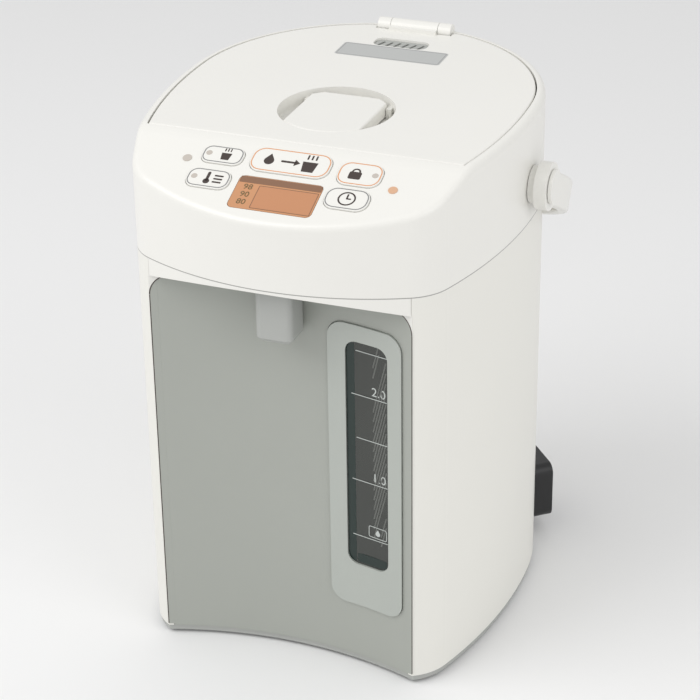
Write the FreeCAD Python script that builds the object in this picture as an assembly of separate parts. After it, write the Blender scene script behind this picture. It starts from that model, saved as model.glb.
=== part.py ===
import FreeCAD, Part
import math
import os
from FreeCAD import Vector as V

# Electric thermo pot, about three litres, in millimetres, +Z up, front towards -Y.
# The drawing axes have x = 0 on the middle plane and y = 0 near the widest place.
# Everything is moved along y once, at the end, so that the finished frame's origin
# is at the middle of the resting surface.

# ---- body outline, seen from above: front, corner, side and rear arcs, all tangent
HALF_WIDTH = 107.5
FRONT_Y = -118.2
REAR_Y = 136.1
FRONT_R = 172.0
CORNER_R = 30.0
SIDE_R = 311.0
REAR_R = 107.0
CASE_WALL = 2.0
HEAD_WALL = 2.6
FIT = 0.3

# ---- heights
BASE_Z = 1.5
CASE_Z = 6.0
LIP_Z = 250.0
KNEE_Y = -62.0
KNEE_Z = 313.0
KNEE_R = 30.0
REAR_RISE = 0.02
FRONT_FALL = 0.41
TOP_EDGE_R = 4.2

# ---- concave front with its level gauge
PANEL_HALF = 77.5
PANEL_DIP = 13.5
PANEL_T = 2.5
GAUGE_X = 47.5
GAUGE_W = 47.0
GAUGE_Z = 42.0
GAUGE_H = 182.0
GAUGE_R = 10.0
GAUGE_BACK = 20.0
WINDOW_X = 48.5
WINDOW_W = 27.0
WINDOW_Z = GAUGE_Z + 28.0
WINDOW_H = GAUGE_H - 38.0
WINDOW_R = 7.0
TUBE_X = 53.0
TUBE_Y = -79.5
TUBE_R = 5.0
TUBE_BORE = 3.6

# ---- vessel
VESSEL_Y = 29.1
VESSEL_R = 76.0
VESSEL_T = 1.0
FLOOR_Z = 71.0
FLOOR_R = 12.0
FLANGE_R = 88.0
FLANGE_Z = 265.6
JACKET_R = 85.0
JACKET_Z = 78.0
WELL_R = 90.0
DECK_Z = 299.5
DECK_T = 2.5

# ---- lid, its hinge and its latch
RIM = 5.0
LID_GAP = 0.8
LID_FRONT_Y = -60.0
LID_Z = 300.0
HINGE_Y = 127.0
HINGE_Z = 317.0
KNUCKLE_R = 5.0
KNUCKLE_HALF = 15.0
PIN_R = 1.5
PLUG_R = 82.0
PLUG_Z = 274.0
DISH_R = 33.5
DISH_Y = -8.0
DISH_FLOOR = 304.5
LEVER_HALF = 23.0
LEVER_PIN_Y = 12.0
LEVER_PIN_Z = 308.0
HOOK_HALF = 8.0
HOOK_Z = 290.0
HOOK_H = 5.0
HOOK_SHORT = 2.7
VENT_Y = 100.0
VENT_R = 17.0
STEAM_LIFT = 5.0

# ---- carrying handle
PIVOT_Y = 20.0
PIVOT_Z = 272.0
PIVOT_R = 6.0
HANDLE_IN = 112.0
HANDLE_T = 7.0
HANDLE_H = 20.0
HANDLE_BOSS_R = 14.0
HANDLE_BACK = 32.0
HANDLE_DOWN = 28.0

# ---- pump under the vessel
PUMP_X = 39.0
PUMP_Y = -12.0
PUMP_R = 20.0
PUMP_Z = 44.5
PUMP_H = 10.5
OUTLET_Z = 49.6
MOTOR_R = 16.5
MOTOR_Z = 10.0
MOTOR_H = 26.0
BLADES = 6

# ---- electrical inlet
INLET_TURN = 40.0
INLET_Z = 30.0
INLET_W = 44.0
INLET_H = 38.0
INLET_OUT = 13.0

# ---- spout
SPOUT_Y = -98.0
SPOUT_W = 22.0
SPOUT_D = 20.0
SPOUT_Z = 213.0
SPOUT_BORE = 4.5
VALVE_Z = GAUGE_Z + GAUGE_H + 8.0
PIPE_Z = VALVE_Z + 38.0

# ---- keys on the sloping control face: name, middle x, distance down the slope,
# width, length and corner radius
KEYS = (
    ("key_boil", -39.5, 16.0, 24.0, 13.0, 5.0),
    ("key_pour", 0.0, 14.8, 46.0, 18.0, 7.0),
    ("key_lock", 40.5, 16.5, 25.0, 17.0, 6.5),
    ("key_keep", -41.0, 34.5, 25.0, 14.0, 5.5),
    ("key_timer", 39.5, 35.5, 25.0, 15.5, 6.5),
)
KEY_RISE = 1.0
KEY_T = 6.0
KEY_TRAVEL = 1.0
LCD_W = 48.0
LCD_L = 24.0
LCD_DOWN = 40.0
LAMPS = ((-59.0, 21.0), (61.5, 24.0))
LAMP_R = 1.6

SLOPE = math.degrees(math.atan(FRONT_FALL))
REAR_TILT = math.degrees(math.atan(REAR_RISE))
X = V(1, 0, 0)
Y = V(0, 1, 0)
Z = V(0, 0, 1)
parts = {}


def box(x0, x1, y0, y1, z0, z1):
    return Part.makeBox(x1 - x0, y1 - y0, z1 - z0, V(x0, y0, z0))


def cyl(r, x, y, z0, z1):
    return Part.makeCylinder(r, z1 - z0, V(x, y, z0), Z)


def bar(r, a, b):
    d = b.sub(a)
    return Part.makeCylinder(r, d.Length, a, d)


def joined(shapes):
    s = shapes[0]
    for t in shapes[1:]:
        s = s.fuse(t)
    return s.removeSplitter()


def cut(s, *tools):
    for t in tools:
        s = s.cut(t)
    return s


def solid_of(s):
    return s.Solids[0] if len(s.Solids) == 1 else s


# Centres of the outline's arcs, from the sizes above.
FRONT_C = V(0, FRONT_Y + FRONT_R, 0)
REAR_C = V(0, REAR_Y - REAR_R, 0)
_sx = HALF_WIDTH - SIDE_R
SIDE_C = V(_sx, REAR_C.y - math.sqrt((SIDE_R - REAR_R) ** 2 - _sx ** 2), 0)
_d = SIDE_C.sub(FRONT_C)
_r0 = FRONT_R - CORNER_R
_r1 = SIDE_R - CORNER_R
_a = (_r0 ** 2 - _r1 ** 2 + _d.Length ** 2) / (2 * _d.Length)
_h = math.sqrt(_r0 ** 2 - _a ** 2)
_ex = V(_d).normalize()
_ey = V(-_ex.y, _ex.x, 0)
_c1 = FRONT_C.add(V(_ex).multiply(_a)).add(V(_ey).multiply(_h))
_c2 = FRONT_C.add(V(_ex).multiply(_a)).sub(V(_ey).multiply(_h))
CORNER_C = _c1 if _c1.x > _c2.x else _c2


def towards(c, a, b, r):
    """Point at distance r from c in the direction from a to b."""
    d = b.sub(a).normalize()
    return c.add(d.multiply(r))


def mirror(p):
    return V(-p.x, p.y, p.z)


def egg_face(off, z=0.0):
    """The body's outline drawn in by off, as a face at height z."""
    rf, rc, rs, rr = FRONT_R - off, CORNER_R - off, SIDE_R - off, REAR_R - off
    t1 = towards(FRONT_C, FRONT_C, CORNER_C, rf)
    t2 = towards(SIDE_C, SIDE_C, CORNER_C, rs)
    t3 = towards(REAR_C, SIDE_C, REAR_C, rr)
    mc = towards(CORNER_C, CORNER_C, CORNER_C.add(t1.sub(CORNER_C)).add(t2.sub(CORNER_C)), rc)
    mid = SIDE_C.add(t2.sub(SIDE_C).add(t3.sub(SIDE_C)).normalize().multiply(rs))
    front = V(0, FRONT_Y + off, 0)
    rear = V(0, REAR_Y - off, 0)
    edges = [
        Part.Arc(mirror(t1), front, t1).toShape(),
        Part.Arc(t1, mc, t2).toShape(),
        Part.Arc(t2, mid, t3).toShape(),
        Part.Arc(t3, rear, mirror(t3)).toShape(),
        Part.Arc(mirror(t3), mirror(mid), mirror(t2)).toShape(),
        Part.Arc(mirror(t2), mirror(mc), mirror(t1)).toShape(),
    ]
    f = Part.Face(Part.Wire(edges))
    f.translate(V(0, 0, z))
    return f


def egg(off, z0, z1):
    return egg_face(off, z0).extrude(V(0, 0, z1 - z0))


# The concave front is a cylinder standing in front of the body.
def outline_y(x):
    """The outline's front y at a distance x from the middle plane."""
    s = egg_face(0).section(Part.makeLine(V(x, -400, 0), V(x, 0, 0)))
    return min(v.Point.y for v in s.Vertexes)


PANEL_EDGE_Y = outline_y(PANEL_HALF)
PANEL_R = (PANEL_HALF ** 2 + PANEL_DIP ** 2) / (2 * PANEL_DIP)
PANEL_C = PANEL_EDGE_Y + PANEL_DIP - PANEL_R


def front_drum(depth, z0, z1):
    """The space before the concave front, grown by depth."""
    return cyl(PANEL_R + depth, 0, PANEL_C, z0, z1)


def front_skin(d0, d1, z0, z1):
    return front_drum(d1, z0, z1).cut(front_drum(d0, z0 - 1, z1 + 1))


def panel_y(x, depth=0.0):
    return PANEL_C + math.sqrt((PANEL_R + depth) ** 2 - x ** 2)


def plate(w, l, r, t, x=0.0, y=0.0, z=0.0):
    """A round cornered plate with its middle at x, y and its underside at z."""
    s = box(x - w / 2, x + w / 2, y - l / 2, y + l / 2, z, z + t)
    e = [k for k in s.Edges if abs(k.tangentAt(k.FirstParameter).z) > 0.9]
    return s.makeFillet(r, e)


def front_block(xm, w, z0, h, r, grow=0.0):
    """A round cornered block through the front, for openings and frames there."""
    s = plate(w + 2 * grow, h + 2 * grow, r + grow, 140.0)
    s.rotate(V(0, 0, 0), X, 90)
    s.translate(V(xm, -40, z0 + h / 2))
    return s


# ---- the top surface, as a side profile with a rounded knee
def under_top(dz=0.0):
    """All the space under the top surface, which is moved by dz."""
    a, b = math.radians(REAR_TILT), math.radians(SLOPE)
    run = KNEE_R * math.tan((b - a) / 2)
    p1 = V(0, KNEE_Y + run * math.cos(a), KNEE_Z + run * math.sin(a))
    p2 = V(0, KNEE_Y - run * math.cos(b), KNEE_Z - run * math.sin(b))
    m = (a + b) / 2
    drop = KNEE_R * (1 / math.cos((b - a) / 2) - 1)
    pm = V(0, KNEE_Y + drop * math.sin(m), KNEE_Z - drop * math.cos(m))
    far = V(0, 220, KNEE_Z + REAR_RISE * (220 - KNEE_Y))
    near = V(0, -180, KNEE_Z + FRONT_FALL * (-180 - KNEE_Y))
    low0 = V(0, 220, 100)
    low1 = V(0, -180, 100)
    edges = [
        Part.makeLine(low1, near),
        Part.makeLine(near, p2),
        Part.Arc(p2, pm, p1).toShape(),
        Part.makeLine(p1, far),
        Part.makeLine(far, low0),
        Part.makeLine(low0, low1),
    ]
    s = Part.Face(Part.Wire(edges)).extrude(V(400, 0, 0))
    s.translate(V(-200, 0, dz))
    return s


def top_z(y):
    if y > KNEE_Y:
        return KNEE_Z + REAR_RISE * (y - KNEE_Y)
    return KNEE_Z + FRONT_FALL * (y - KNEE_Y)


def on_slope(s):
    """From flat axes (y = 0 at the knee, z = 0 on the face) to the control face."""
    s.Placement = FreeCAD.Placement(V(0, KNEE_Y, KNEE_Z), FreeCAD.Rotation(X, SLOPE)) * s.Placement
    return s


def ring(points, y=VESSEL_Y):
    """Turn a closed profile of (radius, height) about the vessel's axis."""
    pts = [V(r, 0, z) for r, z in points]
    w = Part.makePolygon(pts + [pts[0]])
    s = Part.Face(w).revolve(V(0, 0, 0), Z, 360)
    s.translate(V(0, y, 0))
    return s


def pipe(points, r, bore, open_ends=True):
    """A round pipe along straight runs with round elbows."""
    outer = []
    inner = []
    for a, b in zip(points[:-1], points[1:]):
        outer.append(bar(r, a, b))
        inner.append(bar(bore, a, b))
    for p in points[1:-1]:
        outer.append(Part.makeSphere(r, p))
        inner.append(Part.makeSphere(bore, p))
    o = joined(outer)
    for k in inner:
        o = o.cut(k)
    return o


# ---------------------------------------------------------------- outer pieces
def make_case():
    drum = front_drum(0, -5, LIP_Z + 5)
    case = egg(0, CASE_Z, LIP_Z).cut(egg(CASE_WALL, CASE_Z - 1, LIP_Z + 1)).cut(drum)
    case = case.cut(inlet_block(FIT))
    parts["outer_case"] = case

    panel = front_skin(0, PANEL_T, CASE_Z, LIP_Z - FIT)
    panel = panel.common(egg(CASE_WALL + FIT, CASE_Z, LIP_Z))
    panel = panel.cut(front_block(GAUGE_X, GAUGE_W, GAUGE_Z, GAUGE_H, GAUGE_R, FIT))
    parts["front_panel"] = solid_of(panel.common(box(-200, 200, FRONT_Y, 0, 0, 400)))

    base = egg(0.8, BASE_Z, CASE_Z - 0.2).cut(front_drum(0.8, -5, 20))
    bottom = [e for e in base.Edges if abs(e.BoundBox.ZMin - BASE_Z) < 1e-6 and e.BoundBox.ZLength < 1e-6]
    base = base.makeChamfer(1.2, bottom)
    base = base.cut(egg(5.0, BASE_Z + 2.5, 20).cut(front_drum(5.0, -5, 30)))
    rib = [base]
    for k in range(-3, 4):
        rib.append(box(k * 24 - 0.8, k * 24 + 0.8, -78, 108, BASE_Z + 1, BASE_Z + 5.5)
                   .common(egg(4.0, 0, 20)))
    rib.append(cyl(14, PUMP_X, PUMP_Y, BASE_Z + 1, MOTOR_Z))
    for x, y in BOARD_POSTS:
        rib.append(cyl(4, x, y, BASE_Z + 1, BOARD_Z))
    base = joined(rib)
    for x, y in FEET:
        base = base.cut(cyl(FOOT_R + 0.2, x, y, 0, BASE_Z + 1.2))
    for x, y in SCREWS:
        base = base.cut(cyl(SCREW_R + 0.3, x, y, 0, BASE_Z + 1.4))
    parts["bottom_plate"] = base
    feet = [cyl(FOOT_R, x, y, 0, BASE_Z + 1.2) for x, y in FEET]
    parts["rubber_feet"] = Part.makeCompound(feet)
    heads = [cyl(SCREW_R, x, y, BASE_Z + 0.2, BASE_Z + 1.4) for x, y in SCREWS]
    slots = [h.cut(box(x - 2.4, x + 2.4, y - 0.4, y + 0.4, BASE_Z, BASE_Z + 0.8))
             for h, (x, y) in zip(heads, SCREWS)]
    parts["bottom_screws"] = Part.makeCompound(slots)


FOOT_R = 9.0
FEET = ((-66, -66), (66, -66), (-62, 92), (62, 92))
SCREW_R = 3.6
SCREWS = ((-36, -74), (36, -74), (-84, 36), (84, 36), (0, 122))
BOARD_Z = 16.0
BOARD_POSTS = ((-72, -34), (-72, 58), (-14, -34), (-14, 58))


def inlet_frame(s):
    """From axes with +X outwards to the inlet's place on the rear right."""
    s.rotate(V(0, 0, 0), Z, INLET_TURN)
    s.translate(V(0, REAR_C.y, 0))
    return s


def inlet_block(grow=0.0):
    s = plate(INLET_W + 2 * grow, INLET_H + 2 * grow, 6.0 + grow, INLET_OUT + 14.0)
    s.rotate(V(0, 0, 0), Y, 90)
    s.rotate(V(0, 0, 0), X, 90)
    s.translate(V(REAR_R - 14.0, 0, INLET_Z))
    return inlet_frame(s)


def make_inlet():
    body = inlet_block()
    face = REAR_R + INLET_OUT
    well = box(face - 9, face + 5, -15, 15, INLET_Z - 11, INLET_Z + 11)
    body = body.cut(inlet_frame(well))
    parts["power_inlet"] = body
    pins = []
    for y in (-7.0, 7.0):
        p = Part.makeCylinder(2.4, 12, V(face - 15, y, INLET_Z), X)
        pins.append(inlet_frame(p))
    holes = [inlet_frame(Part.makeCylinder(2.4, 6, V(face - 15, y, INLET_Z), X)) for y in (-7.0, 7.0)]
    parts["power_inlet"] = cut(body, *holes)
    parts["inlet_pins"] = Part.makeCompound(pins)


def make_head():
    outer = egg(0, LIP_Z, 345).common(under_top())
    top = []
    for e in outer.Edges:
        c = e.CenterOfMass
        flat = e.BoundBox.XLength > 180 and e.BoundBox.YLength < 1
        if c.z > LIP_Z + 25 and not flat and abs(e.tangentAt(e.FirstParameter).z) < 0.9:
            top.append(e)
    outer = outer.makeFillet(TOP_EDGE_R, top)
    inner = egg(HEAD_WALL, LIP_Z - 5, 345).common(under_top(-HEAD_WALL))
    shell = outer.cut(inner)
    wall = egg(HEAD_WALL - 0.5, LIP_Z, 345).common(under_top(-1.0))
    wall = wall.common(box(-200, 200, LID_FRONT_Y - 2.4, LID_FRONT_Y, FLANGE_Z - 5, 345))
    deck = egg(HEAD_WALL - 0.5, DECK_Z - DECK_T, DECK_Z)
    deck = deck.common(box(-200, 200, LID_FRONT_Y - 2.4, 200, 200, 345))
    deck = deck.cut(cyl(WELL_R, 0, VESSEL_Y, 200, 345))
    well = ring([(WELL_R, FLANGE_Z - 4.6), (WELL_R + 2.4, FLANGE_Z - 4.6),
                 (WELL_R + 2.4, DECK_Z), (WELL_R, DECK_Z)])
    well = well.common(box(-200, 200, LID_FRONT_Y - 2.4, 200, 200, 345))
    seat = ring([(VESSEL_R + VESSEL_T + 0.6, FLANGE_Z - 3.6), (WELL_R + 1.0, FLANGE_Z - 3.6),
                 (WELL_R + 1.0, FLANGE_Z - 1.2), (VESSEL_R + VESSEL_T + 0.6, FLANGE_Z - 1.2)])
    seat = seat.common(box(-200, 200, LID_FRONT_Y - 2.4, 200, 200, 345))
    head = joined([shell, wall, deck, well, seat])
    mouth = egg(RIM, DECK_Z, 345).common(box(-200, 200, LID_FRONT_Y, HINGE_Y - 0.6, 200, 345))
    head = head.cut(mouth)
    # the pocket for the hinge, and two bearing cheeks beside the lid's knuckle
    w = KNUCKLE_HALF + FIT
    head = head.cut(Part.makeCylinder(KNUCKLE_R + 0.6, 2 * w, V(-w, HINGE_Y, HINGE_Z), X))
    head = head.cut(box(-w, w, HINGE_Y - 8, HINGE_Y, HINGE_Z - KNUCKLE_R - 0.6, 345))
    cheeks = []
    for s in (-1, 1):
        a = s * w
        b = s * (w + 8)
        x0, x1 = min(a, b), max(a, b)
        c = Part.makeCylinder(KNUCKLE_R, 8, V(x0, HINGE_Y, HINGE_Z), X)
        cheeks.append(c.fuse(box(x0, x1, HINGE_Y, HINGE_Y + KNUCKLE_R, HINGE_Z - 8, HINGE_Z)))
    head = joined([head] + cheeks)
    head = head.cut(Part.makeCylinder(PIN_R + 0.05, 2 * w + 14, V(-w - 7, HINGE_Y, HINGE_Z), X))
    # the strike slot, the handle pivots, the keys, the display and the lamps
    hw = HOOK_HALF + 0.6
    head = head.cut(box(-hw, hw, LID_FRONT_Y - 5, LID_FRONT_Y + 1, HOOK_Z - 0.6, HOOK_Z + HOOK_H + 0.6))
    for s in (-1, 1):
        head = head.cut(bar(PIVOT_R + 0.05, V(s * 96, PIVOT_Y, PIVOT_Z), V(s * 120, PIVOT_Y, PIVOT_Z)))
    for name, x, down, w, l, r in KEYS:
        head = head.cut(on_slope(plate(w + 2 * FIT, l + 2 * FIT, r + FIT, 20, x, -down, -10)))
    head = head.cut(on_slope(plate(LCD_W + 2 * FIT, LCD_L + 2 * FIT, 3 + FIT, 20, 0, -LCD_DOWN, -10)))
    for x, down in LAMPS:
        head = head.cut(on_slope(cyl(LAMP_R + 0.1, x, -down, -10, 10)))
    parts["head_shell"] = head

    # the sloping underside of the overhang, with the spout's opening
    drop = egg(0, 200, LIP_Z).common(front_drum(-FIT, 200, LIP_Z))
    side = Part.makePolygon([V(0, FRONT_Y, LIP_Z), V(0, FRONT_Y, LIP_Z - 1.6),
                             V(0, FRONT_Y + 40, LIP_Z - 21.6), V(0, FRONT_Y + 40, LIP_Z),
                             V(0, FRONT_Y, LIP_Z)])
    side = Part.Face(side).extrude(V(400, 0, 0))
    side.translate(V(-200, 0, 0))
    drop = drop.common(side)
    drop = drop.cut(box(-SPOUT_W / 2 - FIT, SPOUT_W / 2 + FIT, SPOUT_Y - SPOUT_D / 2 - FIT,
                        SPOUT_Y + SPOUT_D / 2 + FIT, 200, LIP_Z + 1))
    parts["head_underside"] = solid_of(drop)


def make_gauge():
    frame = front_skin(-1.2, 4.0, GAUGE_Z - 5, GAUGE_Z + GAUGE_H + 5)
    frame = frame.common(front_block(GAUGE_X, GAUGE_W, GAUGE_Z, GAUGE_H, GAUGE_R))
    frame = frame.cut(front_block(WINDOW_X, WINDOW_W, WINDOW_Z, WINDOW_H, WINDOW_R))
    parts["gauge_bezel"] = frame
    lens = front_skin(0, 1.8, 20, 240)
    lens = lens.common(front_block(WINDOW_X, WINDOW_W, WINDOW_Z, WINDOW_H, WINDOW_R, -0.1))
    parts["gauge_window"] = solid_of(lens)
    back = front_skin(GAUGE_BACK, GAUGE_BACK + 2.0, GAUGE_Z, GAUGE_Z + GAUGE_H)
    back = back.common(front_block(GAUGE_X, GAUGE_W, GAUGE_Z, GAUGE_H, GAUGE_R))
    rails = []
    for z in (GAUGE_Z + 10, GAUGE_Z + GAUGE_H - 14):
        y = panel_y(TUBE_X, GAUGE_BACK + 0.5)
        rails.append(box(TUBE_X - 7, TUBE_X + 7, TUBE_Y, y, z, z + 5))
    legs = front_skin(4.0, GAUGE_BACK + 0.2, GAUGE_Z, GAUGE_Z + GAUGE_H)
    for x0 in (GAUGE_X - GAUGE_W / 2 + 1, GAUGE_X + GAUGE_W / 2 - 3):
        rails.append(legs.common(box(x0, x0 + 2, -120, 0, GAUGE_Z + 14, GAUGE_Z + GAUGE_H - 14)))
    back = joined([back] + rails)
    back = back.cut(cyl(TUBE_R + 0.1, TUBE_X, TUBE_Y, 0, 300))
    notch = TUBE_R + 1.0
    back = back.cut(box(TUBE_X - notch, TUBE_X + notch, TUBE_Y, 0, 0, OUTLET_Z + notch))
    parts["gauge_back_plate"] = back
    tube = cyl(TUBE_R, TUBE_X, TUBE_Y, GAUGE_Z + 16, VALVE_Z)
    tube = tube.cut(cyl(TUBE_BORE, TUBE_X, TUBE_Y, 0, 300))
    parts["gauge_tube"] = tube


VALVE_R = 9.0
BALL_R = 4.5
BALL_LIFT = 9.0


def make_outlet():
    # tip-over valve: a chamber above the tube with a ball on a cone
    c = cyl(VALVE_R, TUBE_X, TUBE_Y, VALVE_Z, VALVE_Z + 28)
    c = c.cut(cyl(VALVE_R - 1.6, TUBE_X, TUBE_Y, VALVE_Z + 6, VALVE_Z + 26.4))
    c = c.cut(Part.makeCone(TUBE_BORE, VALVE_R - 1.6, 4.5, V(TUBE_X, TUBE_Y, VALVE_Z + 1.5)))
    c = c.cut(cyl(TUBE_BORE, TUBE_X, TUBE_Y, VALVE_Z - 1, VALVE_Z + 3))
    c = c.cut(cyl(TUBE_BORE, TUBE_X, TUBE_Y, VALVE_Z + 20, VALVE_Z + 40))
    parts["valve_chamber"] = c
    # the ball rests just clear of the cone
    slope = math.atan2(4.5, VALVE_R - 1.6 - TUBE_BORE)
    touch = (BALL_R + 0.15) / math.cos(slope)
    z = VALVE_Z + 1.5 + touch - TUBE_BORE * math.tan(slope)
    parts["valve_ball"] = Part.makeSphere(BALL_R, V(TUBE_X, TUBE_Y, z))
    global VALVE_BALL_Z
    VALVE_BALL_Z = z
    pts = [V(TUBE_X, TUBE_Y, VALVE_Z + 28), V(TUBE_X, TUBE_Y, PIPE_Z),
           V(0, SPOUT_Y, PIPE_Z), V(0, SPOUT_Y, LIP_Z - 8)]
    parts["outlet_elbow"] = pipe(pts, TUBE_R, TUBE_BORE)
    n = box(-SPOUT_W / 2, SPOUT_W / 2, SPOUT_Y - SPOUT_D / 2, SPOUT_Y + SPOUT_D / 2,
            SPOUT_Z, LIP_Z - 0.5)
    up = [e for e in n.Edges if e.BoundBox.ZLength > 10]
    n = n.makeFillet(4.0, up)
    low = [e for e in n.Edges if e.BoundBox.ZMax < SPOUT_Z + 0.01]
    n = n.makeChamfer(3.0, low)
    n = n.cut(cyl(SPOUT_BORE, 0, SPOUT_Y, 0, 300))
    n = n.cut(cyl(TUBE_R + 0.1, 0, SPOUT_Y, LIP_Z - 8, 300))
    # it is trimmed to the panel, which it stands against
    n = n.cut(box(-40, 40, panel_y(SPOUT_W / 2) - FIT, 0, 0, LIP_Z - 8))
    parts["spout_nozzle"] = solid_of(n)


def make_vessel():
    r, t = VESSEL_R, VESSEL_T
    z0 = FLOOR_Z - t
    cup = cyl(r + t, 0, VESSEL_Y, z0, FLANGE_Z)
    cup = cup.makeFillet(FLOOR_R + t, [e for e in cup.Edges if e.BoundBox.ZMax < z0 + 0.01])
    hollow = cyl(r, 0, VESSEL_Y, FLOOR_Z, FLANGE_Z + 20)
    hollow = hollow.makeFillet(FLOOR_R, [e for e in hollow.Edges if e.BoundBox.ZMax < FLOOR_Z + 0.01])
    cup = cup.fuse(cyl(FLANGE_R, 0, VESSEL_Y, FLANGE_Z - 1.2, FLANGE_Z)).cut(hollow)
    cup = cup.cut(cyl(5.0, PUMP_X, PUMP_Y, 0, FLOOR_Z + 5))
    parts["vessel_inner"] = cup.removeSplitter()
    top = FLANGE_Z - 5.0
    jacket = ring([(r + t + 0.1, JACKET_Z + 8), (JACKET_R - 3, JACKET_Z + 8), (JACKET_R, JACKET_Z + 13),
                   (JACKET_R, top - 6), (r + t + 1.4, top), (r + t + 0.1, top),
                   (r + t + 0.1, top - 1), (JACKET_R - 1, top - 7),
                   (JACKET_R - 1, JACKET_Z + 13.6), (JACKET_R - 3.6, JACKET_Z + 9),
                   (r + t + 0.1, JACKET_Z + 9)])
    parts["vacuum_jacket"] = jacket
    # round heating element pressed to the floor, with its two tails
    h = ring([(18, z0 - 4), (56, z0 - 4), (58, z0 - 2), (58, z0), (18, z0)])
    h = h.cut(cyl(11, PUMP_X, PUMP_Y, 0, 100))
    tails = [cyl(2, x, VESSEL_Y + 40, z0 - 12, z0 - 3.5) for x in (-8, 8)]
    parts["heating_element"] = joined([h] + tails)
    s = cyl(9, 0, VESSEL_Y, z0 - 3, z0)
    parts["temperature_sensor"] = joined([s, cyl(5, 0, VESSEL_Y, z0 - 12, z0 - 3)])


def make_pump():
    x, y = PUMP_X, PUMP_Y
    z0, z1 = PUMP_Z, PUMP_Z + PUMP_H
    neck = FLOOR_Z - VESSEL_T - 0.2
    body = joined([cyl(PUMP_R, x, y, z0, z1), cyl(8, x, y, z1 - 1, neck),
                   bar(TUBE_R, V(TUBE_X, y, OUTLET_Z), V(TUBE_X, y - PUMP_R - 6, OUTLET_Z))])
    body = cut(body, cyl(PUMP_R - 2.5, x, y, z0 - 1, z1 - 2),
               cyl(5, x, y, z1 - 3, neck + 1),
               bar(TUBE_BORE, V(TUBE_X, y, OUTLET_Z), V(TUBE_X, y - PUMP_R - 7, OUTLET_Z)))
    parts["pump_housing"] = solid_of(body)
    cover = joined([cyl(PUMP_R, x, y, z0 - 1.6, z0),
                    cyl(PUMP_R, x, y, z0 - 12, z0 - 1.5).cut(cyl(MOTOR_R + 0.3, x, y, 0, z0 - 1.6))])
    parts["pump_cover"] = cover
    top = MOTOR_Z + MOTOR_H
    can = cyl(MOTOR_R, x, y, MOTOR_Z, top)
    can = cut(can, cyl(MOTOR_R - 1.4, x, y, MOTOR_Z + 1.6, top - 1.4),
              cyl(PIN_R + 0.06, x, y, 0, 80))
    parts["motor_can"] = can
    shaft = cyl(PIN_R, x, y, MOTOR_Z + 0.5, top + 3)
    core = cyl(MOTOR_R - 4.5, x, y, MOTOR_Z + 5, top - 5)
    for k in range(5):
        a = math.radians(72 * k)
        core = core.cut(cyl(2.2, x + (MOTOR_R - 4.5) * math.cos(a), y + (MOTOR_R - 4.5) * math.sin(a),
                            0, 100))
    magnet = cyl(MOTOR_R - 3.5, x, y, top + 1.6, top + 5.6)
    parts["motor_rotor"] = joined([shaft, core, magnet])
    disc = cyl(PUMP_R - 4.5, x, y, z0 + 0.6, z0 + 2.2)
    vanes = [disc, cyl(3.5, x, y, z0 + 0.6, z0 + 7)]
    for k in range(BLADES):
        v = box(3, PUMP_R - 5.0, -0.7, 0.7, z0 + 2, z0 + 7)
        v.rotate(V(3, 0, 0), Z, -25)
        v.rotate(V(0, 0, 0), Z, 360.0 * k / BLADES)
        v.translate(V(x, y, 0))
        vanes.append(v.common(cyl(PUMP_R - 4.5, x, y, 0, 100)))
    parts["impeller"] = joined(vanes)
    # hose from the pump to the foot of the level tube
    pts = [V(TUBE_X, y - PUMP_R - 6.2, OUTLET_Z), V(TUBE_X, TUBE_Y, OUTLET_Z),
           V(TUBE_X, TUBE_Y, GAUGE_Z + 15.8)]
    parts["delivery_hose"] = pipe(pts, TUBE_R, TUBE_BORE)


def make_electrics():
    b = box(-78, -8, -40, 64, BOARD_Z, BOARD_Z + 1.6)
    b = joined([b, box(-70, -44, -20, 12, BOARD_Z + 1, BOARD_Z + 24),
                cyl(8, -26, -20, BOARD_Z + 1, BOARD_Z + 26), cyl(6, -26, 2, BOARD_Z + 1, BOARD_Z + 18),
                box(-66, -46, 26, 52, BOARD_Z + 1, BOARD_Z + 16),
                box(-34, -18, 22, 50, BOARD_Z + 1, BOARD_Z + 20)])
    parts["power_board"] = b
    c = plate(116, 39, 3, 1.6, 0, -28.5, -KEY_T - 3.6)
    for name, x, down, w, l, r in KEYS:
        c = c.fuse(box(x - 3, x + 3, -down - 3, -down + 3, -KEY_T - 2.2, -KEY_T - 0.4 - KEY_TRAVEL))
    for x, down in LAMPS:
        c = c.fuse(box(x - 4, x + 4, -down - 2, -down + 2, -KEY_T - 3.6, -KEY_T - 2))
    posts = []
    for x in (-56, 56):
        posts.append(cyl(2.5, x, -43, -KEY_T - 2.2, -HEAD_WALL - 0.05))
    parts["control_board"] = on_slope(joined([c] + posts))
    lens = plate(LCD_W, LCD_L, 3, 2.2, 0, -LCD_DOWN, -2.2)
    parts["display_window"] = on_slope(lens)
    parts["display_module"] = on_slope(plate(LCD_W + 2, LCD_L + 2, 1, KEY_T - 0.8, 0, -LCD_DOWN, -KEY_T - 2)
                                       .cut(box(-100, 100, -100, 100, -HEAD_WALL - 0.1, 5)))
    lamps = []
    for x, down in LAMPS:
        lamps.append(on_slope(cyl(LAMP_R, x, -down, -KEY_T - 2, 0.3)))
    parts["indicator_lamps"] = Part.makeCompound(lamps)


def make_keys():
    for name, x, down, w, l, r in KEYS:
        cap = plate(w, l, r, HEAD_WALL + KEY_RISE + 0.4, x, -down, -HEAD_WALL - 0.4)
        high = [e for e in cap.Edges if abs(e.BoundBox.ZMin - KEY_RISE) < 1e-6]
        cap = cap.makeFillet(0.6, high)
        skirt = plate(w + 1.6, l + 1.6, r + 0.8, 1.0, x, -down, -HEAD_WALL - 1.4)
        stem = cyl(2.2, x, -down, -KEY_T - 0.1, -HEAD_WALL - 1)
        parts[name] = on_slope(joined([cap, skirt, stem]))


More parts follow.
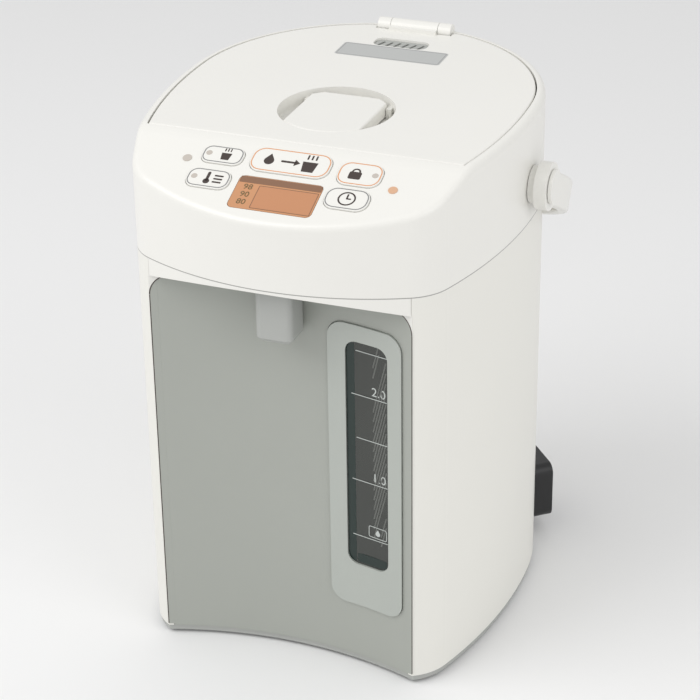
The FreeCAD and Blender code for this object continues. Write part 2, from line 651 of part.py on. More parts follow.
# ---------------------------------------------------------------- lid pieces
def make_steam_valve():
    """A cage in the lid's steam channel with a ball that closes when the pot tips."""
    y = VENT_Y - 6
    z0 = PLUG_Z + 3.1
    r0 = 3.2
    r1 = 6.0
    rise = 3.5
    c = cyl(8.8, 0, y, z0, z0 + 18)
    c = cut(c, Part.makeCone(r0, r1, rise, V(0, y, z0 + 1.5)), cyl(r1, 0, y, z0 + 5, z0 + 16.5),
            cyl(r0, 0, y, z0 - 1, z0 + 2), cyl(3.0, 0, y, z0 + 15, z0 + 20))
    parts["steam_ball_cage"] = c
    slope = math.atan2(rise, r1 - r0)
    z = z0 + 1.5 + (BALL_R + 0.15) / math.cos(slope) - r0 * math.tan(slope)
    parts["steam_ball"] = Part.makeSphere(BALL_R, V(0, y, z))


def make_lid():
    off = RIM + LID_GAP
    reach = HINGE_Y - LID_FRONT_Y - 0.6
    sweep = Part.makeCylinder(reach, 400, V(-200, HINGE_Y, HINGE_Z), X)
    top = egg(off, LID_Z, 345).common(under_top())
    top = top.common(box(-200, 200, -200, HINGE_Y - 1.4, 200, 400)).common(sweep)
    edge = [e for e in top.Edges if e.CenterOfMass.z > KNEE_Z - 4 and e.Length > 3
            and abs(e.tangentAt(e.FirstParameter).z) < 0.5 and e.CenterOfMass.y < HINGE_Y - 3]
    top = top.makeFillet(1.0, edge)
    hollow = egg(off + 2.2, LID_Z - 1, 345).common(under_top(-2.4))
    hollow = hollow.common(box(-200, 200, LID_FRONT_Y + 3.2, HINGE_Y - 12, 200, 400))
    hollow = hollow.cut(cyl(DISH_R + 2.2, 0, DISH_Y, 200, 400))
    hollow = hollow.cut(cyl(VENT_R + 2.2, 0, VENT_Y, 200, 400))
    top = top.cut(hollow)
    dish = cyl(DISH_R, 0, DISH_Y, DISH_FLOOR, 345)
    dish = dish.makeFillet(3.0, [e for e in dish.Edges if e.BoundBox.ZMax < DISH_FLOOR + 0.01])
    top = top.cut(dish)
    vent = plate(34, 13, 5, 40, 0, VENT_Y, 290)
    top = top.cut(vent)
    # the lid stops short of the hinge's bearings, and its knuckle reaches between them
    w = KNUCKLE_HALF + FIT + 9
    top = top.cut(box(-w, w, HINGE_Y - KNUCKLE_R - 0.8, 200, 200, 400))
    k = KNUCKLE_HALF
    knuckle = Part.makeCylinder(KNUCKLE_R, 2 * k, V(-k, HINGE_Y, HINGE_Z), X)
    arm = box(-k, k, HINGE_Y - KNUCKLE_R - 2.8, HINGE_Y, HINGE_Z - KNUCKLE_R, HINGE_Z + 2.0)
    top = joined([top, knuckle, arm])
    top = top.cut(Part.makeCylinder(PIN_R + 0.05, 2 * k + 2, V(-k - 1, HINGE_Y, HINGE_Z), X))
    # ears that carry the lever's pin
    ears = []
    for s in (-1, 1):
        x0 = s * (LEVER_HALF + 0.4)
        x1 = s * (LEVER_HALF + 3.4)
        e = box(min(x0, x1), max(x0, x1), LEVER_PIN_Y - 3, LEVER_PIN_Y + 9, DISH_FLOOR - 0.5,
                LEVER_PIN_Z + 2.6)
        ears.append(e.common(cyl(DISH_R + 1.0, 0, DISH_Y, 200, 400)))
    top = joined([top] + ears)
    top = top.cut(bar(1.3, V(-LEVER_HALF - 3, LEVER_PIN_Y, LEVER_PIN_Z), V(LEVER_HALF + 3, LEVER_PIN_Y, LEVER_PIN_Z)))
    parts["lid_top"] = solid_of(top)

    base = cyl(PLUG_R, 0, VESSEL_Y, PLUG_Z, LID_Z - 0.1)
    base = base.makeChamfer(3.0, [e for e in base.Edges if e.BoundBox.ZMax < PLUG_Z + 0.01])
    base = base.cut(cyl(PLUG_R - 3, 0, VESSEL_Y, PLUG_Z + 3, LID_Z + 5))
    bosses = []
    for x, y in ((-50, 66), (50, 66), (-58, -4), (58, -4)):
        bosses.append(cyl(4, x, y, PLUG_Z + 2, LID_Z - 0.1))
    for s in (-1, 1):
        x0 = s * (HOOK_HALF + 0.3)
        x1 = s * (HOOK_HALF + 2.3)
        bosses.append(box(min(x0, x1), max(x0, x1), -52, -16, PLUG_Z + 2, HOOK_Z + HOOK_H)
                      .common(cyl(PLUG_R - 1, 0, VESSEL_Y, 200, 345)))
    bosses.append(box(-HOOK_HALF - 2, HOOK_HALF + 2, -52, -16, PLUG_Z + 2, HOOK_Z - 0.3)
                  .common(cyl(PLUG_R - 1, 0, VESSEL_Y, 200, 345)))
    bosses.append(box(-HOOK_HALF - 2, HOOK_HALF + 2, -8, -5, PLUG_Z + 2, HOOK_Z + HOOK_H))
    bosses.append(ring([(9, PLUG_Z + 2), (12, PLUG_Z + 2), (12, LID_Z - 1), (9, LID_Z - 1)], VENT_Y - 6)
                  .common(cyl(PLUG_R - 1, 0, VESSEL_Y, 200, 345)))
    base = joined([base] + bosses)
    hw = HOOK_HALF + 0.3
    base = base.cut(box(-hw, hw, -60, -40, HOOK_Z - 0.3, HOOK_Z + HOOK_H + 0.3))
    base = base.cut(cyl(5.0, 0, VENT_Y - 6, PLUG_Z - 1, PLUG_Z + 4))
    parts["lid_base"] = solid_of(base)

    inner = cyl(68, 0, VESSEL_Y, FLANGE_Z - 3.0, PLUG_Z - 0.1)
    inner = inner.makeFillet(2.5, [e for e in inner.Edges if e.BoundBox.ZMax < FLANGE_Z - 2.9])
    inner = inner.cut(cyl(66.5, 0, VESSEL_Y, FLANGE_Z - 1.5, PLUG_Z + 1))
    inner = inner.fuse(cyl(20, 0, VESSEL_Y, FLANGE_Z - 2.0, PLUG_Z - 0.1)).removeSplitter()
    inner = inner.cut(cyl(5.0, 0, VENT_Y - 10, 200, 345))
    for k in range(8):
        a = math.radians(45 * k + 22.5)
        inner = inner.cut(cyl(2.0, 34 * math.cos(a), VESSEL_Y + 34 * math.sin(a), 200, 345))
    parts["inner_lid_plate"] = solid_of(inner)
    g = ring([(71, FLANGE_Z + 3.2), (76.5, FLANGE_Z + 3.2), (79, FLANGE_Z + 0.3), (81, FLANGE_Z + 0.3),
              (80, FLANGE_Z + 4.5), (81, PLUG_Z - 0.1), (71, PLUG_Z - 0.1)])
    parts["lid_gasket"] = g

    # steam vent: slotted cap, chamber with a ball
    cap = plate(33.4, 12.4, 4.7, 14, 0, VENT_Y, LID_Z + 1)
    cap = cap.common(under_top(-0.4))
    cap = cap.cut(plate(30, 9, 3.5, 20, 0, VENT_Y, top_z(VENT_Y) - 2.4 - 20))
    for k in range(6):
        s = box(-0.9, 0.9, -3.6, 3.6, 290, 345)
        s.rotate(V(0, 0, 0), Z, -18)
        s.translate(V(-12.5 + 5 * k, VENT_Y, 0))
        cap = cap.cut(s)
    parts["steam_vent_cap"] = solid_of(cap)
    parts["lever_pin"] = bar(1.25, V(-LEVER_HALF - 2.9, LEVER_PIN_Y, LEVER_PIN_Z),
                             V(LEVER_HALF + 2.9, LEVER_PIN_Y, LEVER_PIN_Z))
    parts["hinge_pin"] = bar(PIN_R, V(-KNUCKLE_HALF - 6, HINGE_Y, HINGE_Z), V(KNUCKLE_HALF + 6, HINGE_Y, HINGE_Z))


def make_lever():
    y1 = LEVER_PIN_Y + 4
    z1 = top_z(DISH_Y) - 0.6
    bottom = LEVER_PIN_Z - 2.0
    p = box(-LEVER_HALF, LEVER_HALF, DISH_Y - DISH_R, y1, bottom, z1)
    p = p.common(cyl(DISH_R - 0.5, 0, DISH_Y, 200, 345))
    # its rear corners swing back as it lifts, so they are drawn in
    rear = cyl(DISH_R - 3.4, 0, DISH_Y, 200, 345).fuse(box(-50, 50, -100, 0, 200, 345))
    p = p.common(rear)
    top = [e for e in p.Edges if abs(e.BoundBox.ZMin - z1) < 1e-6 and e.CenterOfMass.y < y1 - 1]
    p = p.makeFillet(1.2, top)
    p = p.cut(box(-LEVER_HALF + 2, LEVER_HALF - 2, DISH_Y - DISH_R + 5, LEVER_PIN_Y - 4, 200, z1 - 2.2))
    p = p.cut(box(-50, 50, LEVER_PIN_Y + 2.2, y1 + 5, 200, LEVER_PIN_Z + 0.5))
    p = p.cut(bar(1.3, V(-60, LEVER_PIN_Y, LEVER_PIN_Z), V(60, LEVER_PIN_Y, LEVER_PIN_Z)))
    parts["lid_lever"] = solid_of(p)
    h = box(-HOOK_HALF, HOOK_HALF, LID_FRONT_Y + HOOK_SHORT, -16, HOOK_Z, HOOK_Z + HOOK_H)
    nose = Part.makePolygon([V(0, LID_FRONT_Y + HOOK_SHORT - 1, HOOK_Z - 1), V(0, LID_FRONT_Y + HOOK_SHORT + 5, HOOK_Z - 1),
                             V(0, LID_FRONT_Y + HOOK_SHORT - 1, HOOK_Z + 4),
                             V(0, LID_FRONT_Y + HOOK_SHORT - 1, HOOK_Z - 1)])
    nose = Part.Face(nose).extrude(V(60, 0, 0))
    nose.translate(V(-30, 0, 0))
    h = h.cut(nose)
    parts["lid_hook"] = solid_of(h)


def make_handle():
    out = HANDLE_IN + HANDLE_T
    h = HANDLE_H / 2
    o = cyl(out, 0, HANDLE_BACK, -h, h).fuse(box(-out, out, 0, HANDLE_BACK, -h, h))
    i = cyl(HANDLE_IN, 0, HANDLE_BACK, -h - 1, h + 1)
    i = i.fuse(box(-HANDLE_IN, HANDLE_IN, -200, HANDLE_BACK, -h - 1, h + 1))
    o = o.cut(box(-200, 200, -400, 0, -50, 50))
    bail = o.cut(i)
    bail = bail.removeSplitter()
    long_edges = [e for e in bail.Edges if e.Length > 150]
    bail = bail.makeFillet(2.2, long_edges)
    pieces = [bail]
    for s in (-1, 1):
        a = V(s * HANDLE_IN, 0, 0)
        b = V(s * out, 0, 0)
        pieces.append(bar(HANDLE_BOSS_R, a, b))
    bail = joined(pieces)
    for s in (-1, 1):
        bail = bail.cut(bar(PIVOT_R + 0.1, V(s * 100, 0, 0), V(s * 130, 0, 0)))
    bail.rotate(V(0, 0, 0), X, -HANDLE_DOWN)
    bail.translate(V(0, PIVOT_Y, PIVOT_Z))
    parts["carry_handle"] = bail
    pins = []
    for s in (-1, 1):
        x = HALF_WIDTH + 0.3
        p = bar(PIVOT_R, V(s * (HALF_WIDTH - HEAD_WALL - 1), PIVOT_Y, PIVOT_Z), V(s * (out + 0.4), PIVOT_Y, PIVOT_Z))
        flange = bar(PIVOT_R + 5, V(s * x, PIVOT_Y, PIVOT_Z), V(s * (HANDLE_IN - 0.4), PIVOT_Y, PIVOT_Z))
        cap = bar(PIVOT_R + 4, V(s * (out + 0.4), PIVOT_Y, PIVOT_Z), V(s * (out + 2.4), PIVOT_Y, PIVOT_Z))
        pins.append(joined([p, flange, cap]))
    parts["handle_pivots"] = Part.makeCompound(pins)


make_case()
make_inlet()
make_head()
make_gauge()
make_outlet()
make_vessel()
make_pump()
make_electrics()
make_keys()
make_lid()
make_steam_valve()
make_lever()
make_handle()

os.makedirs("parts", exist_ok=True)
low = min(parts[n].optimalBoundingBox(False, False).YMin for n in ("head_shell", "spout_nozzle"))
high = max(parts[n].optimalBoundingBox(False, False).YMax for n in ("head_shell", "carry_handle"))
SHIFT = -(low + high) / 2
print("shift", round(SHIFT, 4), "front", round(low, 3), "rear", round(high, 3))
print("ball", round(VALVE_BALL_Z, 3), "slope", round(SLOPE, 4))
for name, s in parts.items():
    s = s.copy()
    s.translate(V(0, SHIFT, 0))
    bad = "" if s.isValid() else " NOT VALID"
    print(name, len(s.Solids), round(s.Volume, 1), bad)
    s.exportStep("parts/" + name + ".step")
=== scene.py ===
import math

import bmesh
import bpy
from bpy.props import FloatProperty, FloatVectorProperty, IntProperty, PointerProperty
from mathutils import Matrix, Vector


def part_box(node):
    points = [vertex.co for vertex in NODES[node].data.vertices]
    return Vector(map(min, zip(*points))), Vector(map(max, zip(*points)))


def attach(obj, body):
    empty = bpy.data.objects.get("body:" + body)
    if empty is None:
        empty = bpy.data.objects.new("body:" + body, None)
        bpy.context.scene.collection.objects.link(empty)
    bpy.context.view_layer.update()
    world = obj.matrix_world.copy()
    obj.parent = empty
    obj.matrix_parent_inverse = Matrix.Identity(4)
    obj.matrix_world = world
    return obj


bl_info = {
    "name": "Thermo pot dressing",
    "version": (1, 0, 0),
    "blender": (4, 5, 0),
    "location": "View3D > Sidebar > Thermo pot",
    "description": "Finishes, prints, display, gauge marks and stage for an electric thermo pot",
    "category": "Object",
}

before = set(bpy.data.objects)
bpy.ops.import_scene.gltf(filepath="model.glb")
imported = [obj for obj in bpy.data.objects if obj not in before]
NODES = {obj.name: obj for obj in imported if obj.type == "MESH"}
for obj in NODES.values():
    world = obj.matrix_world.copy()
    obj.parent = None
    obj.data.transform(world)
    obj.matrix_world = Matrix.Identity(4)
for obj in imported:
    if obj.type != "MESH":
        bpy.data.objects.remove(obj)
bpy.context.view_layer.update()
MM = 0.001
CASE_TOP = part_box("outer_case")[1][2]
FRONT_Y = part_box("head_shell")[0][1]
KNEE_BACK = 56.2                  # from the head's front to the knee, in millimetres
LID_ZERO = 118.2                  # from the head's front to the zero of on_lid, in millimetres
LID_RISE = 0.02                   # how much the flat top climbs towards the rear
KNEE_Y = FRONT_Y + KNEE_BACK * MM


def length(label, about, value):
    return FloatProperty(name=label, description=about, default=value, unit="LENGTH")


def angle(label, about, value):
    return FloatProperty(name=label, description=about, default=value, subtype="ANGLE")


def tint_of(label, about, value):
    return FloatVectorProperty(name=label, description=about, default=value, subtype="COLOR", size=3)


class PotSizes(bpy.types.PropertyGroup):
    """Sizes of what is printed or stuck on the pot."""

    knee_y: length("Knee place", "Where the control face starts to slope", KNEE_Y)
    knee_z: length("Knee height", "Height of the top at the knee", 0.313)
    slope: angle("Slope", "Fall of the control face", math.atan(0.41))
    key_rise: length("Key rise", "How far the keys stand out", 1.0 * MM)
    ink: length("Ink thickness", "Thickness of a printed mark", 0.08 * MM)
    key_line: length("Key outline", "Width of the line round each key", 0.6 * MM)
    panel_radius: length("Front radius", "Radius of the hollow front", 229.204 * MM)
    label_width: length("Sticker width", "Width of the blank sticker", 66.0 * MM)
    label_length: length("Sticker length", "Length of the blank sticker", 20.0 * MM)
    level_step: length("Half litre", "Height of half a litre in the gauge", 27.4 * MM)
    level_one: length("One litre mark", "Height of the one litre line", 126.0 * MM)
    hatch_count: IntProperty(name="Hatch stripes", description="Stripes behind the level tube",
                             default=14, min=1, max=80)
    hatch_step: length("Hatch step", "Distance between the stripes", 6.3 * MM)


class PotColours(bpy.types.PropertyGroup):
    """Colours of the pot's finishes."""

    white: tint_of("White shell", "Head, lid and keys", (0.84, 0.83, 0.79))
    case: tint_of("Case", "Painted wall", (0.82, 0.81, 0.76))
    panel: tint_of("Front panel", "Grey front", (0.39, 0.405, 0.37))
    bezel: tint_of("Gauge frame", "Frame round the gauge", (0.45, 0.475, 0.44))
    # on the head underside this grey is laid only on faces that point down, as painted shade under the lip
    trim: tint_of("Grey trim", "Underside, spout and vent", (0.42, 0.43, 0.41))
    gauge: tint_of("Gauge back", "Behind the level tube", (0.10, 0.12, 0.11))
    display: tint_of("Display", "Lit display", (0.60, 0.29, 0.14))
    accent: tint_of("Warm print", "Orange outlines", (0.72, 0.34, 0.16))
    print: tint_of("Grey print", "Grey outlines and marks", (0.24, 0.24, 0.24))
    inlet: tint_of("Inlet", "Black socket", (0.012, 0.012, 0.013))


class PotStage(bpy.types.PropertyGroup):
    """Camera, lamps and floor."""

    azimuth: angle("Azimuth", "Camera turn from the front", math.radians(21.303))
    elevation: angle("Elevation", "Camera height angle", math.radians(27.34))
    roll: angle("Roll", "Camera roll", math.radians(0.827))
    place: FloatVectorProperty(name="Camera place", description="Camera position",
                               default=(0.4406, -1.14175, 0.78055), subtype="TRANSLATION", size=3)
    lens: FloatProperty(name="Lens", description="Focal length in millimetres on a 36 mm frame",
                        default=116.75)
    world: FloatProperty(name="World light", description="Strength of the plain surrounding light",
                         default=0.70)
    key: FloatProperty(name="Main lamp", description="Power of the main soft lamp in watts",
                       default=13.5)
    fill: FloatProperty(name="Second lamp", description="Power of the second soft lamp in watts", default=5.0)
    floor: tint_of("Floor", "Floor colour", (0.88, 0.88, 0.88))


def sizes():
    return bpy.context.scene.pot_sizes


def colours():
    return bpy.context.scene.pot_colours


# ------------------------------------------------------------------ finishes
COAT_ROUGH = 0.12
CLOUD_SCALE = 18.0                # size of the slow change of tone
GLOSS_SPREAD = 0.08               # how far the gloss wanders to either side
BUMP_HEIGHT = 1.0 * MM
STEEL_GRAIN = (30, 30, 1400)      # stretches the noise into lines round the vertical axis
STEEL_SHADE = 0.85
# faces that point further down than this take the grey trim colour as painted shade under the lip
DOWNWARD = -0.2                   # a face that points further down than this is grey
SEAM_UP, SEAM_HALF, SEAM_SHADE = 0.25 * MM, 0.35 * MM, 0.42


def add(tree, kind, **values):
    """A new node: _name sets a property and Name sets an input."""
    node = tree.nodes.new(kind)
    for key, value in values.items():
        if key.startswith("_"):
            setattr(node, key[1:], value)
        else:
            node.inputs[key.replace("_", " ")].default_value = value
    return node


def finish_of(name, colour, rough=0.4, metal=0.0, coat=0.0, grain=900.0, depth=0.02, tint=0.04, alpha=1.0,
              seams=()):
    """A moulded or painted surface: fine grain, slightly uneven tone and gloss, and any dark seams.

    Each seam is its height, its half width and its shade.
    """
    found = bpy.data.materials.get(name)
    if found:
        return found
    mat = bpy.data.materials.new(name)
    mat.use_nodes = True
    t = mat.node_tree
    shader = t.nodes["Principled BSDF"]
    shader.inputs["Metallic"].default_value = metal
    shader.inputs["Coat Weight"].default_value = coat
    shader.inputs["Coat Roughness"].default_value = COAT_ROUGH
    shader.inputs["Alpha"].default_value = alpha
    where = add(t, "ShaderNodeTexCoord")
    cloud = add(t, "ShaderNodeTexNoise", Scale=CLOUD_SCALE, Detail=3.0, Roughness=0.55)
    fine = add(t, "ShaderNodeTexNoise", Scale=grain, Detail=2.0, Roughness=0.5)
    t.links.new(where.outputs["Object"], cloud.inputs["Vector"])
    t.links.new(where.outputs["Object"], fine.inputs["Vector"])
    tone = add(t, "ShaderNodeMix", _data_type="RGBA")
    tone.inputs["A"].default_value = (*[c * (1 - tint) for c in colour], 1)
    tone.inputs["B"].default_value = (*[min(1.0, c * (1 + tint)) for c in colour], 1)
    t.links.new(cloud.outputs["Fac"], tone.inputs["Factor"])
    out = tone.outputs["Result"]
    for height, half, shade in seams:
        split = add(t, "ShaderNodeSeparateXYZ")
        t.links.new(where.outputs["Object"], split.inputs["Vector"])
        off = add(t, "ShaderNodeMath", _operation="SUBTRACT")
        off.inputs[1].default_value = height
        t.links.new(split.outputs["Z"], off.inputs[0])
        size = add(t, "ShaderNodeMath", _operation="ABSOLUTE")
        t.links.new(off.outputs[0], size.inputs[0])
        near = add(t, "ShaderNodeMath", _operation="LESS_THAN")
        near.inputs[1].default_value = half
        t.links.new(size.outputs[0], near.inputs[0])
        dark = add(t, "ShaderNodeMix", _data_type="RGBA")
        dark.inputs["B"].default_value = (*[c * shade for c in colour], 1)
        t.links.new(near.outputs[0], dark.inputs["Factor"])
        t.links.new(out, dark.inputs["A"])
        out = dark.outputs["Result"]
    t.links.new(out, shader.inputs["Base Color"])
    gloss = add(t, "ShaderNodeMapRange")
    gloss.inputs["To Min"].default_value = max(0.02, rough - GLOSS_SPREAD)
    gloss.inputs["To Max"].default_value = min(1.0, rough + GLOSS_SPREAD)
    t.links.new(cloud.outputs["Fac"], gloss.inputs["Value"])
    t.links.new(gloss.outputs["Result"], shader.inputs["Roughness"])
    bump = add(t, "ShaderNodeBump", Strength=depth, Distance=BUMP_HEIGHT)
    t.links.new(fine.outputs["Fac"], bump.inputs["Height"])
    t.links.new(bump.outputs["Normal"], shader.inputs["Normal"])
    mat.diffuse_color = (*colour, 1)
    return mat


def brushed(name, colour, rough=0.28):
    """Drawn or turned steel with fine marks round the vertical axis."""
    found = bpy.data.materials.get(name)
    if found:
        return found
    mat = bpy.data.materials.new(name)
    mat.use_nodes = True
    t = mat.node_tree
    shader = t.nodes["Principled BSDF"]
    shader.inputs["Metallic"].default_value = 1.0
    where = add(t, "ShaderNodeTexCoord")
    squeeze = add(t, "ShaderNodeMapping")
    squeeze.inputs["Scale"].default_value = STEEL_GRAIN
    lines = add(t, "ShaderNodeTexNoise", Scale=1.0, Detail=3.0)
    t.links.new(where.outputs["Object"], squeeze.inputs["Vector"])
    t.links.new(squeeze.outputs["Vector"], lines.inputs["Vector"])
    tone = add(t, "ShaderNodeMix", _data_type="RGBA")
    tone.inputs["A"].default_value = (*[c * STEEL_SHADE for c in colour], 1)
    tone.inputs["B"].default_value = (*colour, 1)
    t.links.new(lines.outputs["Fac"], tone.inputs["Factor"])
    t.links.new(tone.outputs["Result"], shader.inputs["Base Color"])
    gloss = add(t, "ShaderNodeMapRange")
    gloss.inputs["To Min"].default_value = rough - 0.08
    gloss.inputs["To Max"].default_value = rough + 0.1
    t.links.new(lines.outputs["Fac"], gloss.inputs["Value"])
    t.links.new(gloss.outputs["Result"], shader.inputs["Roughness"])
    return mat


def white_plastic():
    return finish_of("white_plastic", colours().white,
                     rough=0.34, coat=0.15, grain=1400, depth=0.01, tint=0.012)


def shell_plastic():
    return finish_of("shell_plastic", colours().white,
                     rough=0.34, coat=0.15, grain=1400, depth=0.01, tint=0.012,
                     seams=((CASE_TOP + SEAM_UP, SEAM_HALF, SEAM_SHADE),))


def case_paint():
    return finish_of("case_paint", colours().case,
                     rough=0.38, coat=0.1, grain=1100, depth=0.012, tint=0.012)


def panel_plastic():
    return finish_of("panel_plastic", colours().panel,
                     rough=0.42, coat=0.05, grain=1300, depth=0.02, tint=0.02)


def bezel_plastic():
    return finish_of("bezel_plastic", colours().bezel,
                     rough=0.32, coat=0.1, grain=1300, depth=0.01, tint=0.02)


def trim_plastic():
    return finish_of("trim_plastic", colours().trim, rough=0.5, grain=1100, depth=0.03, tint=0.03)


def gauge_plastic():
    return finish_of("gauge_plastic", colours().gauge, rough=0.5, grain=1000, depth=0.02, tint=0.06)


def clear_plastic():
    return finish_of("clear_plastic", (0.060, 0.064, 0.058),
                     rough=0.14, grain=700, depth=0.0, tint=0.04, alpha=0.86)


def clear_tube():
    # The tube is clear and half see-through; its pale grey is a painted highlight along it.
    return finish_of("clear_tube", (0.62, 0.66, 0.64),
                     rough=0.08, grain=700, depth=0.0, tint=0.03, alpha=0.42)


def display_glass():
    return finish_of("display_glass", colours().display,
                     rough=0.12, coat=0.3, grain=500, depth=0.0, tint=0.05)


def silicone():
    return finish_of("silicone", (0.60, 0.60, 0.57), rough=0.55, grain=900, depth=0.03, tint=0.04)


def inner_plastic():
    return finish_of("inner_plastic", (0.30, 0.31, 0.30), rough=0.5, grain=900, depth=0.03, tint=0.05)


def board_green():
    return finish_of("board_green", (0.02, 0.12, 0.045), rough=0.35, grain=300, depth=0.05, tint=0.25)


def rubber_black():
    return finish_of("rubber_black", (0.02, 0.02, 0.02), rough=0.75, grain=900, depth=0.06, tint=0.1)


def inlet_plastic():
    return finish_of("inlet_plastic", colours().inlet, rough=0.4, grain=1200, depth=0.05, tint=0.1)


def steel():
    return brushed("steel", (0.62, 0.61, 0.59))


def dark_iron():
    return finish_of("dark_iron", (0.05, 0.05, 0.055),
                     rough=0.45, metal=0.8, grain=400, depth=0.08, tint=0.2)


def orange_ink():
    return finish_of("orange_ink", colours().accent, rough=0.5, grain=800, depth=0.0, tint=0.05)


def grey_ink():
    return finish_of("grey_ink", colours().print, rough=0.5, grain=800, depth=0.0, tint=0.05)


def soft_ink():
    return finish_of("soft_ink", (0.33, 0.33, 0.33), rough=0.5, grain=800, depth=0.0, tint=0.05)


def pale_ink():
    return finish_of("pale_ink", (0.55, 0.58, 0.56), rough=0.45, grain=800, depth=0.0, tint=0.04)


def dark_ink():
    return finish_of("dark_ink", (0.05, 0.035, 0.03), rough=0.5, grain=800, depth=0.0, tint=0.08)


def lamp_grey():
    return finish_of("lamp_grey", (0.50, 0.50, 0.48),
                     rough=0.3, coat=0.3, grain=500, depth=0.0, tint=0.04)


def lamp_warm():
    return finish_of("lamp_warm", (0.70, 0.42, 0.26),
                     rough=0.3, coat=0.3, grain=500, depth=0.0, tint=0.04)


def display_ink():
    return finish_of("display_ink", (0.20, 0.13, 0.05), rough=0.4, grain=500, depth=0.0, tint=0.05)


def hatch_grey():
    return finish_of("hatch_grey", (0.13, 0.135, 0.125), rough=0.5, grain=500, depth=0.0, tint=0.05)


def underside_with_painted_shade():
    """White where the piece is part of the lip's wall; its faces that point down get the grey trim colour as
    painted shade under the lip.
    """
    mat = finish_of("underside_with_painted_shade", colours().trim, rough=0.45, grain=1100, depth=0.02, tint=0.02)
    t = mat.node_tree
    shader = t.nodes["Principled BSDF"]
    old = shader.inputs["Base Color"].links[0].from_socket
    facing = t.nodes.new("ShaderNodeNewGeometry")
    split = t.nodes.new("ShaderNodeSeparateXYZ")
    t.links.new(facing.outputs["True Normal"], split.inputs["Vector"])
    down = add(t, "ShaderNodeMath", _operation="GREATER_THAN")
    down.inputs[1].default_value = DOWNWARD
    t.links.new(split.outputs["Z"], down.inputs[0])
    # faces that point down keep the grey, which is painted shade under the lip; the rest turns white
    painted_shade_mix = add(t, "ShaderNodeMix", _data_type="RGBA")
    painted_shade_mix.inputs["B"].default_value = (*colours().white, 1)
    t.links.new(down.outputs[0], painted_shade_mix.inputs["Factor"])
    t.links.new(old, painted_shade_mix.inputs["A"])
    t.links.new(painted_shade_mix.outputs["Result"], shader.inputs["Base Color"])
    return mat


def smoke_dark():
    return finish_of("smoke_dark", (0.010, 0.024, 0.020), rough=0.2, grain=500, depth=0.0, tint=0.1)


def sticker_silver():
    return finish_of("sticker_silver", (0.50, 0.51, 0.50),
                     rough=0.35, metal=0.1, grain=2200, depth=0.02, tint=0.03)


FINISHES = (
    (shell_plastic, ("head_shell",)),
    (white_plastic, ("lid_top", "lid_lever", "carry_handle", "handle_pivots", "lid_base", "lid_hook")),
    (case_paint, ("outer_case",)),
    (panel_plastic, ("front_panel",)),
    (bezel_plastic, ("gauge_bezel",)),
    (underside_with_painted_shade, ("head_underside",)),
    (trim_plastic, ("spout_nozzle", "steam_vent_cap", "bottom_plate", "steam_ball_cage")),
    (gauge_plastic, ("gauge_back_plate",)),
    (clear_plastic, ("gauge_window", "valve_chamber")),
    (clear_tube, ("gauge_tube",)),
    (display_glass, ("display_window", "display_module")),
    (silicone, ("outlet_elbow", "delivery_hose", "lid_gasket")),
    (inner_plastic, ("pump_housing", "pump_cover", "impeller", "indicator_lamps")),
    (board_green, ("power_board", "control_board")),
    (rubber_black, ("rubber_feet",)),
    (inlet_plastic, ("power_inlet",)),
    (steel, ("vessel_inner", "vacuum_jacket", "inner_lid_plate", "valve_ball", "steam_ball", "hinge_pin",
             "lever_pin", "bottom_screws", "inlet_pins", "motor_can", "heating_element",
             "temperature_sensor")),
    (dark_iron, ("motor_rotor",)),
)


def carried(obj, body):
    """Let a piece move with a body."""
    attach(obj, body)
    return obj


def piece_from(name, verts, faces, material, body):
    """A new object of the given mesh, which moves with a body."""
    mesh = bpy.data.meshes.new(name)
    mesh.from_pydata([tuple(v) for v in verts], [], faces)
    mesh.update()
    obj = bpy.data.objects.new(name, mesh)
    bpy.context.scene.collection.objects.link(obj)
    mesh.materials.append(material)
    return carried(obj, body)


def round_rect(w, l, r, steps=6, x=0.0, y=0.0):
    """Outline of a round cornered rectangle, anticlockwise."""
    r = min(r, w / 2, l / 2)
    right, top = w / 2 - r, l / 2 - r
    left, foot = -w / 2 + r, -l / 2 + r
    out = []
    for cx, cy, start in ((right, top, 0), (left, top, 90), (left, foot, 180), (right, foot, 270)):
        for k in range(steps + 1):
            a = math.radians(start + 90 * k / steps)
            out.append((x + cx + r * math.cos(a), y + cy + r * math.sin(a)))
    return out


def disc(r, x=0.0, y=0.0, steps=24, start=0.0, sweep=360.0):
    """Points round a circle, or along a part of it with both its ends."""
    n = steps if sweep >= 360 else steps + 1
    turns = [math.radians(start + sweep * k / steps) for k in range(n)]
    return [(x + r * math.cos(a), y + r * math.sin(a)) for a in turns]


def slab(outlines, place, low, high):
    """Closed flat solids over outlines, with place(x, y, z) giving the point on the object."""
    verts, faces = [], []
    for ring in outlines:
        n, s = len(ring), len(verts)
        verts += [place(x, y, low) for x, y in ring] + [place(x, y, high) for x, y in ring]
        faces.append(tuple(s + n + k for k in range(n)))
        faces.append(tuple(s + n - 1 - k for k in range(n)))
        faces += [(s + k, s + (k + 1) % n, s + n + (k + 1) % n, s + n + k) for k in range(n)]
    return verts, faces


def band(outer, inner, place, low, high):
    """A closed flat ring between two outlines with as many points each."""
    n = len(outer)
    rings = ((outer, low), (outer, high), (inner, high), (inner, low))
    verts = [place(x, y, z) for ring, z in rings for x, y in ring]
    faces = []
    for k in range(n):
        m = (k + 1) % n
        for a in range(4):
            b = (a + 1) % 4
            faces.append((a * n + k, a * n + m, b * n + m, b * n + k))
    return verts, faces


def on_face(x, y, z):
    """From the control face's own axes, in millimetres, to the object."""
    s = sizes()
    c, d = math.cos(s.slope), math.sin(s.slope)
    return (x * MM, s.knee_y + (y * c - z * d) * MM, s.knee_z + (y * d + z * c) * MM)


def on_lid(x, y, z):
    """From a place on the lid to the object, with y measured back from LID_ZERO."""
    s = sizes()
    gy = FRONT_Y + (y + LID_ZERO) * MM
    return (x * MM, gy, s.knee_z + LID_RISE * (gy - s.knee_y) + z * MM)


